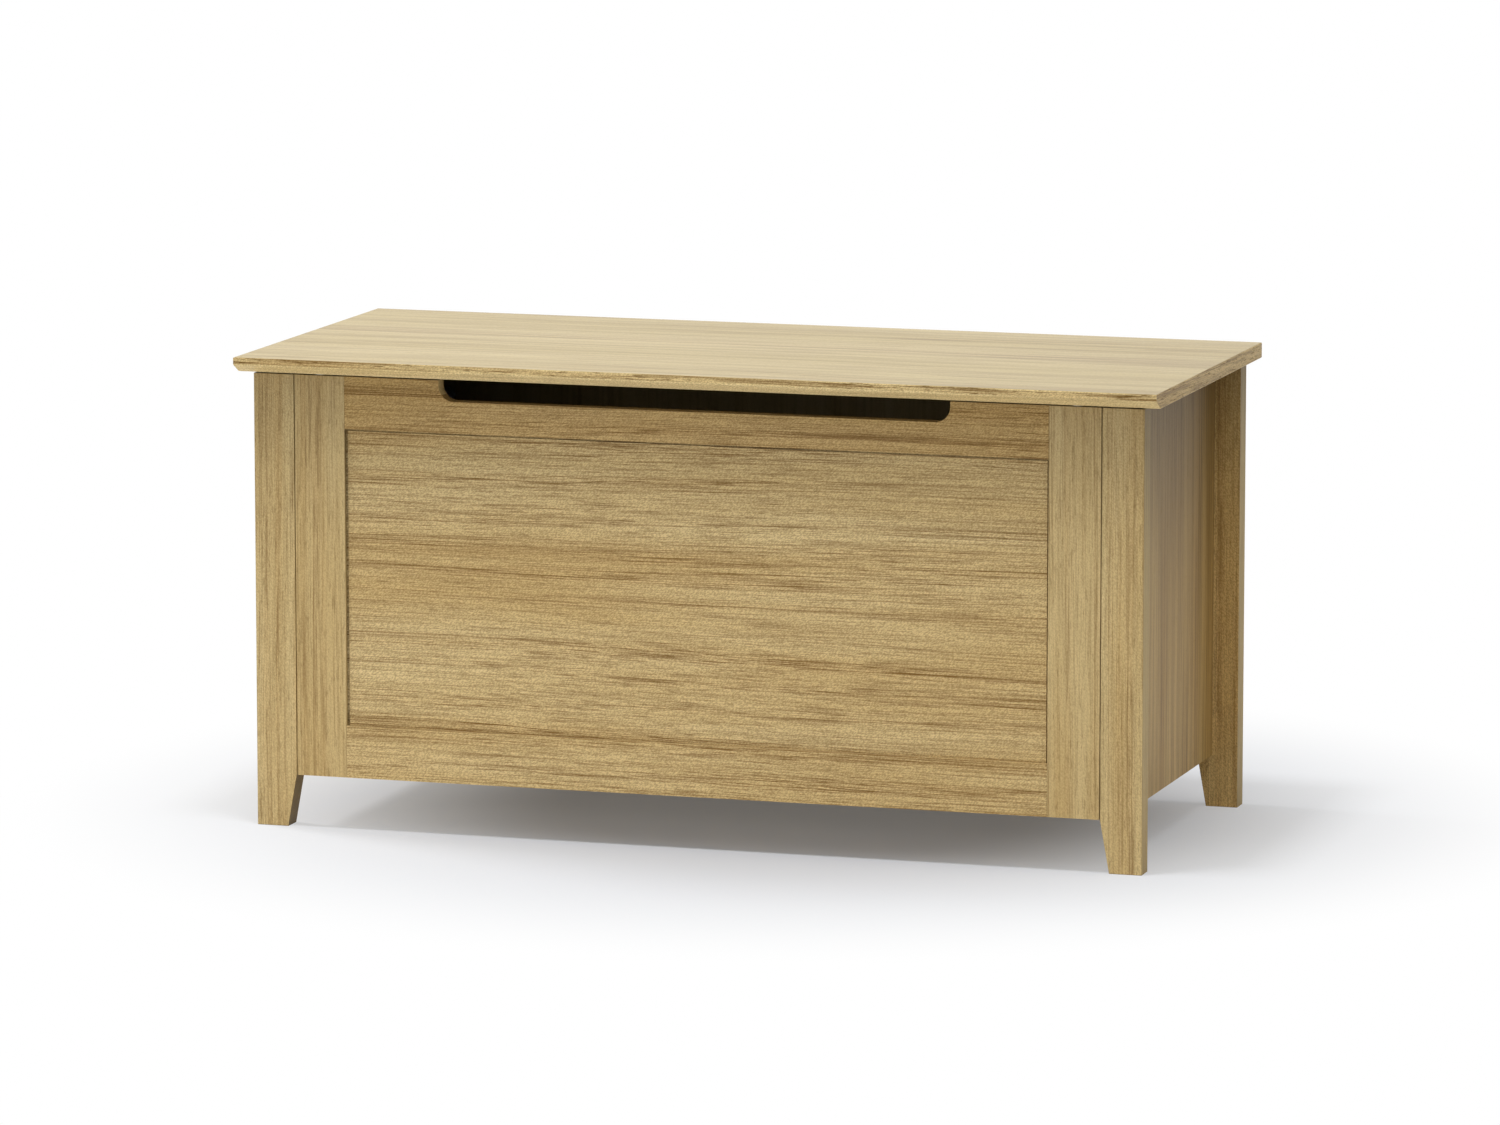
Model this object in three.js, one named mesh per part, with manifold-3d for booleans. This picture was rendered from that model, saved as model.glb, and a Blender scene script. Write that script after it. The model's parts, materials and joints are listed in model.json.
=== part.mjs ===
// Blanket chest in oak veneer: a low storage box on four board legs, with a panelled front,
// a finger slot in the top rail, and a lid hinged along the back on two gas struts.
// Millimetres, +Z up, front towards -Y. The origin is at the middle of the footprint, on the floor.

import * as THREE from 'three';
import { mergeVertices } from 'three/addons/utils/BufferGeometryUtils.js';
import Module from 'manifold-3d';

const wasm = await Module();
wasm.setup();

// Lid
const lidWidth = 900;
const lidDepth = 400;
const lidThickness = 15;
const lidNoseHeight = 7;
const lidEndOverhang = 15;
const lidFrontOverhang = 15;
const lidGap = 1;

// Carcass
const chestHeight = 450;
const boardThickness = 15;
const panelBottomHeight = 50;
const sideInset = 25;
const glueLine = 0.1;

// Legs
const legWidth = 40;
const legThickness = 22;
const legToeWidth = 31;
const legGroove = 0.8;

// Front frame and its centre panel
const stileWidth = 50;
const topRailHeight = 50;
const bottomRailHeight = 50;
const centrePanelRecess = 4;
const centrePanelThickness = 7;
const grooveDepth = 8;
const grooveClearance = 0.2;

// Finger slot in the top rail
const slotWidth = 500;
const slotDepth = 20;
const slotCornerRadius = 15;

// Base
const basePanelThickness = 9;
const battenWidth = 18;
const battenHeight = 18;

// Butt hinges
const hingeEndDistance = 134;
const hingeLength = 65;
const hingeStandOff = 0.4;
const leafThickness = 1.5;
const leafWidth = 14;
const leafGap = 0.4;
const leafRecessClearance = 0.1;
const knuckleWall = 1.3;
const knuckleCount = 5;
const knuckleGap = 0.4;
const pinRadius = 1.3;
const pinClearance = 0.4;
const pinHeadLip = 0.7;
const pinHeadThickness = 1;
const pinHeadGap = 0.2;

// Wood screws
const screwShankRadius = 1.5;
const screwHeadRadius = 3;
const screwHeadThickness = 1.4;
const screwClearance = 0.15;
const screwPointLength = 3;
const hingeScrewEndDistance = 12;
const hingeBodyScrewLength = 22;
const shortScrewLength = 12;
const panHeadThickness = 2;
const driveSlotLength = 3.6;
const driveSlotWidth = 0.8;
const driveSlotDepth = 1;

// Gas struts
const strutPivotRadius = 200;
const lidOpenAngle = THREE.MathUtils.degToRad(80);
const strutLidDrop = 18;
const strutInset = 16;
const strutRunningGap = 0.4;
const cylinderRadius = 7.5;
const cylinderWall = 1.1;
const cylinderEndWall = 3;
const cylinderNeckLength = 6;
const cylinderChamfer = 1.5;
const rodRadius = 3;
const rodShownShut = 30;
const pistonLength = 6;
const pistonSpareTravel = 4;
const eyeWall = 2.6;
const eyeWidth = 8;
const eyeNeckRadius = 4;
const eyeNeckLength = 8;

// Strut brackets
const bracketThickness = 2;
const bracketPlateLength = 50;
const bracketPlateWidth = 18;
const bracketBackClearance = 7;
const bracketScrewEndDistance = 8;
const lidPlateWidth = 26;
const studRadius = 4;
const studShoulder = 3;
const studHeadLip = 1.5;
const studHeadThickness = 1.6;
const flangeHalfWidth = 11;
const flangeBelowPivot = 9;

// Cam fittings that draw the front frame and the back panel to the legs
const camRadius = 7.5;
const camDepth = 10;
const camClearance = 0.2;
const camInset = 24;
const camLowHeight = 75;
const camTopDistance = 65;
const camSlotLength = 9;
const camSlotWidth = 1.6;
const camSlotDepth = 2;

// Lid bumpers
const bumperRadius = 5;
const bumperEdgeDistance = 24;
const bumperAirGap = 0.1;

// How far a cutter runs past the face that it cuts through
const cutOverrun = 2;

// Smoothness of the round pieces
const fineSides = 24;
const plainSides = 16;
const screwSides = 12;
const slotCornerSteps = 6;

// Round sizes that follow from what they fit
const knuckleBoreRadius = pinRadius + pinClearance;
const knuckleRadius = knuckleBoreRadius + knuckleWall;
const pinHeadRadius = knuckleBoreRadius + pinHeadLip;
const cylinderBoreRadius = cylinderRadius - cylinderWall;
const pistonRadius = cylinderBoreRadius - strutRunningGap;
const eyeBoreRadius = studRadius + strutRunningGap;
const eyeRadius = eyeBoreRadius + eyeWall;
const studHeadRadius = studRadius + studHeadLip;

// Places worked out from the sizes
const hingeAxisBehind = hingeStandOff + knuckleRadius;
const overallDepth = lidDepth + hingeAxisBehind + knuckleRadius;
const lidFrontY = -overallDepth / 2;
const rearY = lidFrontY + lidDepth;
const hingeY = rearY + hingeAxisBehind;
const carcassTop = chestHeight - lidThickness - lidGap;
const hingeZ = carcassTop + lidGap / 2;
const frontY = lidFrontY + lidFrontOverhang;
const legOuterX = lidWidth / 2 - lidEndOverhang;
const legInnerX = legOuterX - legWidth;
const sideOuterX = legOuterX - sideInset;
const sideInnerX = sideOuterX - boardThickness;
const innerEndX = Math.min(sideInnerX, legInnerX);
const frameEndX = legInnerX - legGroove;
const stileInnerX = frameEndX - stileWidth;
const innerFrontY = frontY + boardThickness;
const innerBackY = rearY - boardThickness;
const topRailBottom = carcassTop - topRailHeight;
const bottomRailTop = panelBottomHeight + bottomRailHeight;
const centrePanelFrontY = frontY + centrePanelRecess;
const basePanelBottom = panelBottomHeight + battenHeight + glueLine;
const backScrewY = rearY - boardThickness / 2;
const hingeCentreX = frameEndX - hingeEndDistance;
const hingeScrewOffset = hingeLength / 2 - hingeScrewEndDistance;

// Strut geometry: both pivots lie on one circle round the hinge axis, so the strut always
// turns at half the rate of the lid.
const lidPivotDrop = strutLidDrop - lidGap / 2;
const lidPivotDip = Math.asin(lidPivotDrop / strutPivotRadius);
const lidPivotForward = strutPivotRadius * Math.cos(lidPivotDip);
const sidePivotForward = hingeY - innerBackY + bracketBackClearance + bracketPlateWidth / 2;
const sidePivotDip = Math.acos(sidePivotForward / strutPivotRadius);
const sidePivotDrop = strutPivotRadius * Math.sin(sidePivotDip);
const strutLean = Math.atan2(lidPivotForward - sidePivotForward, sidePivotDrop - lidPivotDrop);
const strutShutAngle = sidePivotDip - lidPivotDip;
const strutShutLength = 2 * strutPivotRadius * Math.sin(strutShutAngle / 2);
const strutOpenLength = 2 * strutPivotRadius * Math.sin((strutShutAngle + lidOpenAngle) / 2);
const cylinderLength = strutShutLength - rodShownShut;
const rodReach = strutOpenLength - cylinderLength + cylinderNeckLength + pistonLength + pistonSpareTravel;
const strutX = sideInnerX - strutInset;
const studTip = eyeWidth / 2 + strutRunningGap;
const flangeOffset = -eyeWidth / 2 - studShoulder;
const lidScrewOffset = flangeOffset - (lidPlateWidth + bracketThickness) / 2;

// Materials
function oakVeneer(colour, roughness) {
  return new THREE.MeshStandardMaterial({ color: colour, roughness, metalness: 0 });
}

function lidOak() {
  return oakVeneer('#d6c79d', 0.55);
}

function uprightOak() {
  return oakVeneer('#bfa574', 0.6);
}

function railOak() {
  return oakVeneer('#bba470', 0.6);
}

function sideOak() {
  return oakVeneer('#a18b60', 0.6);
}

function innerBoard() {
  return oakVeneer('#c7b184', 0.65);
}

function softwood() {
  return oakVeneer('#cfb88a', 0.75);
}

function brassedSteel() {
  return new THREE.MeshStandardMaterial({ color: '#b59a5b', roughness: 0.35, metalness: 1 });
}

function zincSteel() {
  return new THREE.MeshStandardMaterial({ color: '#a9abad', roughness: 0.4, metalness: 1 });
}

function blackPaintedSteel() {
  return new THREE.MeshStandardMaterial({ color: '#1b1c1e', roughness: 0.4, metalness: 0.2 });
}

function brightRodSteel() {
  return new THREE.MeshStandardMaterial({ color: '#c3c6c9', roughness: 0.2, metalness: 1 });
}

function clearRubber() {
  return new THREE.MeshStandardMaterial({ color: '#d9d8d0', roughness: 0.5, metalness: 0 });
}

// A closed geometry becomes a solid that can be cut and joined.
function solidFrom(geometry) {
  geometry.deleteAttribute('normal');
  geometry.deleteAttribute('uv');
  const merged = mergeVertices(geometry);
  const corners = merged.index.array;
  const kept = [];
  for (let i = 0; i < corners.length; i += 3) {
    const [a, b, c] = [corners[i], corners[i + 1], corners[i + 2]];
    if (a !== b && b !== c && c !== a) kept.push(a, b, c);
  }
  return new wasm.Manifold(new wasm.Mesh({
    numProp: 3,
    vertProperties: merged.attributes.position.array,
    triVerts: new Uint32Array(kept),
  }));
}

function geometryFrom(solid) {
  const mesh = solid.getMesh();
  const geometry = new THREE.BufferGeometry();
  geometry.setAttribute('position', new THREE.BufferAttribute(mesh.vertProperties, mesh.numProp));
  geometry.setIndex(new THREE.BufferAttribute(mesh.triVerts, 1));
  geometry.computeVertexNormals();
  return geometry;
}

function joined(first, ...others) {
  return others.reduce((whole, other) => whole.add(other), first);
}

function cut(body, cutters) {
  return cutters.reduce((rest, cutter) => rest.subtract(cutter), body);
}

// A box from its low corner to its high corner.
function block(low, high) {
  const geometry = new THREE.BoxGeometry(high[0] - low[0], high[1] - low[1], high[2] - low[2]);
  geometry.translate((low[0] + high[0]) / 2, (low[1] + high[1]) / 2, (low[2] + high[2]) / 2);
  return solidFrom(geometry);
}

// A profile of [radius, height] points turned round Z, which starts and ends on the axis.
function turned(profile, facets) {
  const points = profile.map(([radius, height]) => new THREE.Vector2(radius, height));
  const geometry = new THREE.LatheGeometry(points, facets);
  geometry.rotateX(Math.PI / 2);
  return solidFrom(geometry);
}

// A round bar along Z between two heights.
function bar(radius, low, high, facets) {
  return turned([[0, low], [radius, low], [radius, high], [0, high]], facets);
}

// A round bar along X between two places.
function crossBar(radius, low, high, facets) {
  return bar(radius, low, high, facets).rotate([0, 90, 0]);
}

// An outline in X and Z, given a thickness from y = 0 towards the back.
function boardFrom(shape, thickness) {
  const geometry = new THREE.ExtrudeGeometry(shape, {
    depth: thickness,
    bevelEnabled: false,
    curveSegments: slotCornerSteps,
  });
  geometry.rotateX(Math.PI / 2);
  geometry.translate(0, thickness, 0);
  return solidFrom(geometry);
}

function piece(name, solid, material) {
  const mesh = new THREE.Mesh(geometryFrom(solid), material);
  mesh.name = name;
  return mesh;
}

function placed(mesh, x, y, z) {
  mesh.position.set(x, y, z);
  return mesh;
}

const sides = [['left', -1], ['right', 1]];

// Legs: boards that face the front and the back, tapered on their inner edge below the panels.
function leg(name, side, y) {
  const outer = 0;
  const inner = -side * legWidth;
  const toe = -side * legToeWidth;
  const outline = new THREE.Shape([
    new THREE.Vector2(outer, 0),
    new THREE.Vector2(toe, 0),
    new THREE.Vector2(inner, panelBottomHeight),
    new THREE.Vector2(inner, carcassTop),
    new THREE.Vector2(outer, carcassTop),
  ]);
  const mesh = piece(name, boardFrom(outline, legThickness), uprightOak());
  return placed(mesh, side * legOuterX, y, 0);
}

function legs() {
  const group = new THREE.Group();
  for (const [sideName, side] of sides) {
    group.add(leg(`front_${sideName}_leg`, side, frontY));
    group.add(leg(`rear_${sideName}_leg`, side, rearY - legThickness));
  }
  return group;
}

// The groove that holds the centre panel, as the space between two Y planes.
const grooveFront = centrePanelRecess - grooveClearance;
const grooveBack = centrePanelRecess + centrePanelThickness + grooveClearance;

// A blind hole for a cam, bored from the face at one Y into the board.
function camHole(x, faceY, inward, z) {
  const hole = bar(camRadius + camClearance, -cutOverrun, camDepth + camClearance, fineSides);
  return hole.rotate([-90 * inward, 0, 0]).translate([x, faceY, z]);
}

const camHeights = [
  ['lower', panelBottomHeight + camLowHeight],
  ['upper', carcassTop - camTopDistance],
];

// Stiles: the uprights at the ends of the front frame, next to the legs.
function stile(sideName, side) {
  const width = stileWidth;
  const near = Math.min(0, -side * width);
  const far = Math.max(0, -side * width);
  const height = carcassTop - panelBottomHeight;
  const body = block([near, 0, 0], [far, boardThickness, height]);
  const innerEdge = -side * width;
  const grooveLow = Math.min(innerEdge - side * cutOverrun, innerEdge + side * grooveDepth);
  const grooveHigh = Math.max(innerEdge - side * cutOverrun, innerEdge + side * grooveDepth);
  const groove = block(
    [grooveLow, grooveFront, -cutOverrun],
    [grooveHigh, grooveBack, height + cutOverrun],
  );
  const camHoles = camHeights.map(([, z]) => (
    camHole(-side * (camInset - legGroove), boardThickness, -1, z - panelBottomHeight)
  ));
  const mesh = piece(`front_${sideName}_stile`, cut(body, [groove, ...camHoles]), uprightOak());
  return placed(mesh, side * frameEndX, frontY, panelBottomHeight);
}

// Rails end in tongues that sit in the grooves of the stiles.
const railHalfLength = stileInnerX - glueLine;
const tongueReach = stileInnerX + grooveDepth - grooveClearance;

function railTongues(low, high) {
  const root = railHalfLength - cutOverrun;
  const [front, back] = [centrePanelRecess, centrePanelRecess + centrePanelThickness];
  return [
    block([-tongueReach, front, low], [-root, back, high]),
    block([root, front, low], [tongueReach, back, high]),
  ];
}

function railGroove(low, high) {
  const reach = tongueReach + cutOverrun;
  return block([-reach, grooveFront, low], [reach, grooveBack, high]);
}

function bottomRail() {
  const body = block([-railHalfLength, 0, 0], [railHalfLength, boardThickness, bottomRailHeight]);
  const whole = joined(body, ...railTongues(0, bottomRailHeight - grooveDepth));
  const groove = railGroove(bottomRailHeight - grooveDepth, bottomRailHeight + cutOverrun);
  const mesh = piece('front_bottom_rail', cut(whole, [groove]), railOak());
  return placed(mesh, 0, frontY, panelBottomHeight);
}

// The top rail's upper edge dips into a finger slot with rounded lower corners.
function topRail() {
  const slotFloor = topRailHeight - slotDepth;
  const slotEnd = slotWidth / 2;
  const outline = new THREE.Shape();
  outline.moveTo(-railHalfLength, 0);
  outline.lineTo(railHalfLength, 0);
  outline.lineTo(railHalfLength, topRailHeight);
  outline.lineTo(slotEnd, topRailHeight);
  outline.lineTo(slotEnd, slotFloor + slotCornerRadius);
  const cornerX = slotEnd - slotCornerRadius;
  const cornerZ = slotFloor + slotCornerRadius;
  outline.absarc(cornerX, cornerZ, slotCornerRadius, 0, -Math.PI / 2, true);
  outline.lineTo(-cornerX, slotFloor);
  outline.absarc(-cornerX, cornerZ, slotCornerRadius, -Math.PI / 2, -Math.PI, true);
  outline.lineTo(-slotEnd, topRailHeight);
  outline.lineTo(-railHalfLength, topRailHeight);
  const body = boardFrom(outline, boardThickness);
  const whole = joined(body, ...railTongues(grooveDepth, topRailHeight));
  const groove = railGroove(-cutOverrun, grooveDepth);
  const mesh = piece('front_top_rail', cut(whole, [groove]), railOak());
  return placed(mesh, 0, frontY, topRailBottom);
}

// The centre panel floats in the grooves of the frame.
function centrePanel() {
  const sideReach = stileInnerX + grooveDepth - grooveClearance;
  const low = bottomRailTop - grooveDepth + grooveClearance;
  const high = topRailBottom + grooveDepth - grooveClearance;
  const body = block([-sideReach, 0, 0], [sideReach, centrePanelThickness, high - low]);
  return placed(piece('front_centre_panel', body, railOak()), 0, centrePanelFrontY, low);
}

function frontFrame() {
  const group = new THREE.Group();
  for (const [sideName, side] of sides) group.add(stile(sideName, side));
  group.add(topRail(), bottomRail(), centrePanel());
  return group;
}

// Strut bracket screws go into the side panels and the lid at these distances from the pivot.
const bracketScrewOffset = bracketPlateLength / 2 - bracketScrewEndDistance;
const bracketScrewShares = [-1, 1];

// A hole for a screw's shank, along Z from the face at z = 0 down into the wood.
function shankHole(length) {
  const radius = screwShankRadius + screwClearance;
  return bar(radius, -length - screwClearance, cutOverrun, screwSides);
}

function sidePanel(sideName, side) {
  const low = frontY + legThickness + glueLine;
  const high = rearY - legThickness - glueLine;
  const height = carcassTop - panelBottomHeight;
  const near = Math.min(0, side * boardThickness);
  const far = Math.max(0, side * boardThickness);
  const body = block([near, 0, 0], [far, high - low, height]);
  const pivotY = hingeY - sidePivotForward - low;
  const pivotZ = hingeZ - sidePivotDrop - panelBottomHeight;
  const holes = bracketScrewShares.map((share) => (
    shankHole(shortScrewLength)
      .rotate([0, -90 * side, 0])
      .translate([0, pivotY, pivotZ + share * bracketScrewOffset])
  ));
  const mesh = piece(`${sideName}_side_panel`, cut(body, holes), sideOak());
  return placed(mesh, side * sideInnerX, low, panelBottomHeight);
}

function backPanel() {
  const height = carcassTop - panelBottomHeight;
  const body = block([-frameEndX, 0, 0], [frameEndX, boardThickness, height]);
  const leafBottom = hingeZ - leafGap / 2 - leafThickness - panelBottomHeight;
  const recessLow = leafBottom - leafRecessClearance;
  const cutters = [];
  for (const [, side] of sides) {
    const middle = side * hingeCentreX;
    const reach = hingeLength / 2 + leafRecessClearance;
    cutters.push(block(
      [middle - reach, boardThickness - leafWidth - leafRecessClearance, recessLow],
      [middle + reach, boardThickness + cutOverrun, height + cutOverrun],
    ));
    for (const offset of [-hingeScrewOffset, hingeScrewOffset]) {
      const hole = shankHole(hingeBodyScrewLength);
      cutters.push(hole.translate([middle + offset, boardThickness / 2, recessLow]));
    }
    for (const [, z] of camHeights) {
      cutters.push(camHole(side * (legInnerX - camInset), 0, 1, z - panelBottomHeight));
    }
  }
  return placed(piece('back_panel', cut(body, cutters), sideOak()), 0, innerBackY, panelBottomHeight);
}

// Battens glued round the foot of the panels carry the base panel.
function battens() {
  const group = new THREE.Group();
  const z = panelBottomHeight;
  const reach = innerEndX - glueLine;
  const crossBody = () => block([-reach, 0, 0], [reach, battenWidth, battenHeight]);
  const frontBatten = piece('front_batten', crossBody(), softwood());
  group.add(placed(frontBatten, 0, innerFrontY + glueLine, z));
  const backBatten = piece('back_batten', crossBody(), softwood());
  group.add(placed(backBatten, 0, innerBackY - glueLine - battenWidth, z));
  const low = innerFrontY + battenWidth + 2 * glueLine;
  const high = innerBackY - battenWidth - 2 * glueLine;
  for (const [sideName, side] of sides) {
    const body = block([-battenWidth / 2, 0, 0], [battenWidth / 2, high - low, battenHeight]);
    const mesh = piece(`${sideName}_batten`, body, softwood());
    group.add(placed(mesh, side * (sideInnerX - glueLine - battenWidth / 2), low, z));
  }
  return group;
}

function basePanel() {
  const reach = innerEndX - glueLine;
  const low = innerFrontY + glueLine;
  const high = innerBackY - glueLine;
  const body = block([-reach, 0, 0], [reach, high - low, basePanelThickness]);
  return placed(piece('base_panel', body, innerBoard()), 0, low, basePanelBottom);
}

// Cams: slotted discs in blind holes in the inner faces, two at each joint with a leg.
function cam(name) {
  const disc = bar(camRadius, -camDepth, 0, fineSides);
  const slot = block(
    [-camSlotLength / 2, -camSlotWidth / 2, -camSlotDepth],
    [camSlotLength / 2, camSlotWidth / 2, cutOverrun],
  );
  return piece(name, cut(disc, [slot]), zincSteel());
}

function cams() {
  const group = new THREE.Group();
  for (const [sideName, side] of sides) {
    for (const [levelName, z] of camHeights) {
      const x = side * (legInnerX - camInset);
      const frontCam = cam(`front_${sideName}_${levelName}_cam`);
      frontCam.rotation.x = -Math.PI / 2;
      group.add(placed(frontCam, x, innerFrontY, z));
      const backCam = cam(`back_${sideName}_${levelName}_cam`);
      backCam.rotation.x = Math.PI / 2;
      group.add(placed(backCam, x, innerBackY, z));
    }
  }
  return group;
}

// Lid bumpers: thin discs on top of the stiles that the shut lid rests on.
function bumpers() {
  const group = new THREE.Group();
  const thickness = lidGap - 2 * bumperAirGap;
  for (const [sideName, side] of sides) {
    const body = bar(bumperRadius, 0, thickness, plainSides);
    const mesh = piece(`${sideName}_lid_bumper`, body, clearRubber());
    const x = side * (frameEndX - bumperEdgeDistance);
    group.add(placed(mesh, x, frontY + boardThickness / 2, carcassTop + bumperAirGap));
  }
  return group;
}

// Screws point down -Z, with the outer face of the head at z = 0.
function crossRecess() {
  const half = driveSlotLength / 2;
  const thin = driveSlotWidth / 2;
  return [
    block([-half, -thin, -driveSlotDepth], [half, thin, cutOverrun]),
    block([-thin, -half, -driveSlotDepth], [thin, half, cutOverrun]),
  ];
}

function countersunkScrew(name, length, material) {
  const profile = [
    [0, -length],
    [screwShankRadius, -length + screwPointLength],
    [screwShankRadius, -screwHeadThickness],
    [screwHeadRadius, 0],
    [0, 0],
  ];
  return piece(name, cut(turned(profile, screwSides), crossRecess()), material);
}

function panHeadScrew(name, length, material) {
  const profile = [
    [0, -length - panHeadThickness],
    [screwShankRadius, -length - panHeadThickness + screwPointLength],
    [screwShankRadius, -panHeadThickness],
    [screwHeadRadius, -panHeadThickness],
    [screwHeadRadius, -panHeadThickness / 2],
    [screwHeadRadius - panHeadThickness / 2, 0],
    [0, 0],
  ];
  return piece(name, cut(turned(profile, screwSides), crossRecess()), material);
}

// Hinge leaves lie flat with the hinge shut. In a leaf's own frame the pin runs along X
// through the origin, and the leaf lies on one side of it, towards -Y.
const knuckleLength = (hingeLength - (knuckleCount - 1) * knuckleGap) / knuckleCount;

function knuckleStart(index) {
  return -hingeLength / 2 + index * (knuckleLength + knuckleGap);
}

function leafScrewHole(x, top) {
  const profile = [
    [0, top - leafThickness - cutOverrun],
    [screwShankRadius + screwClearance, top - leafThickness - cutOverrun],
    [screwShankRadius + screwClearance, top - screwHeadThickness],
    [screwHeadRadius + screwClearance, top],
    [screwHeadRadius + screwClearance, top + cutOverrun],
    [0, top + cutOverrun],
  ];
  return turned(profile, screwSides).translate([x, backScrewY - hingeY, 0]);
}

function hingeLeaf(name, firstKnuckle) {
  const plateTop = -leafGap / 2;
  const plateBottom = plateTop - leafThickness;
  const plateNear = -hingeAxisBehind;
  const half = hingeLength / 2;
  const plate = block([-half, plateNear - leafWidth, plateBottom], [half, plateNear, plateTop]);
  const added = [];
  for (let index = firstKnuckle; index < knuckleCount; index += 2) {
    const start = knuckleStart(index);
    const end = start + knuckleLength;
    added.push(crossBar(knuckleRadius, start, end, fineSides));
    added.push(block([start, plateNear - leafThickness, plateBottom], [end, 0, plateTop]));
  }
  const bore = crossBar(knuckleBoreRadius, -half - cutOverrun, half + cutOverrun, plainSides);
  const holes = [-hingeScrewOffset, hingeScrewOffset].map((x) => leafScrewHole(x, plateTop));
  return piece(name, cut(joined(plate, ...added), [bore, ...holes]), brassedSteel());
}

function hingePin(name) {
  const half = hingeLength / 2 + pinHeadGap;
  const end = half + pinHeadThickness;
  const profile = [
    [0, -end],
    [pinHeadRadius, -end],
    [pinHeadRadius, -half],
    [pinRadius, -half],
    [pinRadius, half],
    [pinHeadRadius, half],
    [pinHeadRadius, end],
    [0, end],
  ];
  return piece(name, turned(profile, plainSides).rotate([0, 90, 0]), brassedSteel());
}

function hingeBodySide(sideName, side) {
  const group = new THREE.Group();
  group.position.set(side * hingeCentreX, hingeY, hingeZ);
  group.add(hingeLeaf(`${sideName}_hinge_body_leaf`, 0));
  group.add(hingePin(`${sideName}_hinge_pin`));
  [-hingeScrewOffset, hingeScrewOffset].forEach((x, index) => {
    const name = `${sideName}_hinge_body_screw_${index + 1}`;
    const screw = countersunkScrew(name, hingeBodyScrewLength, brassedSteel());
    group.add(placed(screw, x, backScrewY - hingeY, -leafGap / 2 - screwClearance / 2));
  });
  return group;
}

// The lid's leaf is the same leaf turned over about the middle of its length.
function hingeLidSide(sideName, side) {
  const group = new THREE.Group();
  group.position.set(side * hingeCentreX, 0, 0);
  const leaf = hingeLeaf(`${sideName}_hinge_lid_leaf`, 1);
  leaf.geometry = geometryFrom(solidFrom(leaf.geometry).mirror([0, 0, 1]));
  group.add(leaf);
  [-hingeScrewOffset, hingeScrewOffset].forEach((x, index) => {
    const name = `${sideName}_hinge_lid_screw_${index + 1}`;
    const screw = countersunkScrew(name, shortScrewLength, brassedSteel());
    screw.rotation.x = Math.PI;
    group.add(placed(screw, x, backScrewY - hingeY, leafGap / 2 + screwClearance / 2));
  });
  return group;
}

// Side bracket of a strut: a plate on the side panel, and a headed stud through the strut's eye.
function sideBracket(sideName, side) {
  const plateInner = strutInset - glueLine - bracketThickness;
  const plateOuter = strutInset - glueLine;
  const halfWidth = bracketPlateWidth / 2;
  const halfLength = bracketPlateLength / 2;
  const plate = block([plateInner, -halfWidth, -halfLength], [plateOuter, halfWidth, halfLength]);
  const stud = crossBar(studRadius, -studTip, plateInner + bracketThickness / 2, plainSides);
  const head = crossBar(studHeadRadius, -studTip - studHeadThickness, -studTip, plainSides);
  const holes = bracketScrewShares.map((share) => (
    crossBar(screwShankRadius + screwClearance, plateInner - cutOverrun, plateOuter + cutOverrun, screwSides)
      .translate([0, 0, share * bracketScrewOffset])
  ));
  let bracket = cut(joined(plate, stud, head), holes);
  if (side < 0) bracket = bracket.mirror([1, 0, 0]);
  const group = new THREE.Group();
  group.position.set(side * strutX, hingeY - sidePivotForward, hingeZ - sidePivotDrop);
  group.add(piece(`${sideName}_strut_side_bracket`, bracket, zincSteel()));
  bracketScrewShares.forEach((share, index) => {
    const name = `${sideName}_side_bracket_screw_${index + 1}`;
    const screw = panHeadScrew(name, shortScrewLength, zincSteel());
    screw.rotation.y = -side * Math.PI / 2;
    const x = side * (plateInner - panHeadThickness - glueLine);
    group.add(placed(screw, x, 0, share * bracketScrewOffset));
  });
  return group;
}

// Lid bracket of a strut: an angle screwed under the lid, with a headed stud that points outwards.
function lidBracket(sideName, side) {
  const top = lidPivotDrop + lidGap / 2 - glueLine;
  const halfLength = bracketPlateLength / 2;
  const flangeOuter = flangeOffset;
  const flangeInner = flangeOuter - bracketThickness;
  const plate = block(
    [flangeOuter - lidPlateWidth, -halfLength, top - bracketThickness],
    [flangeOuter, halfLength, top],
  );
  const flange = block(
    [flangeInner, -flangeHalfWidth, -flangeBelowPivot],
    [flangeOuter, flangeHalfWidth, top],
  );
  const stud = crossBar(studRadius, flangeInner, studTip, plainSides);
  const head = crossBar(studHeadRadius, studTip, studTip + studHeadThickness, plainSides);
  const holes = bracketScrewShares.map((share) => (
    bar(screwShankRadius + screwClearance, top - bracketThickness - cutOverrun, top + cutOverrun, screwSides)
      .translate([lidScrewOffset, share * bracketScrewOffset, 0])
  ));
  let bracket = cut(joined(plate, flange, stud, head), holes);
  if (side < 0) bracket = bracket.mirror([1, 0, 0]);
  const group = new THREE.Group();
  group.position.set(side * strutX, -lidPivotForward, -lidPivotDrop);
  group.add(piece(`${sideName}_strut_lid_bracket`, bracket, zincSteel()));
  bracketScrewShares.forEach((share, index) => {
    const name = `${sideName}_lid_bracket_screw_${index + 1}`;
    const screw = panHeadScrew(name, shortScrewLength, zincSteel());
    screw.rotation.x = Math.PI;
    const z = top - bracketThickness - panHeadThickness - glueLine;
    group.add(placed(screw, side * lidScrewOffset, share * bracketScrewOffset, z));
  });
  return group;
}

// The eye at the end of a strut, with the neck that joins it to the tube or the rod.
function eyeEnd() {
  const eye = crossBar(eyeRadius, -eyeWidth / 2, eyeWidth / 2, fineSides);
  return joined(eye, bar(eyeNeckRadius, 0, eyeRadius + eyeNeckLength, plainSides));
}

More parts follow.
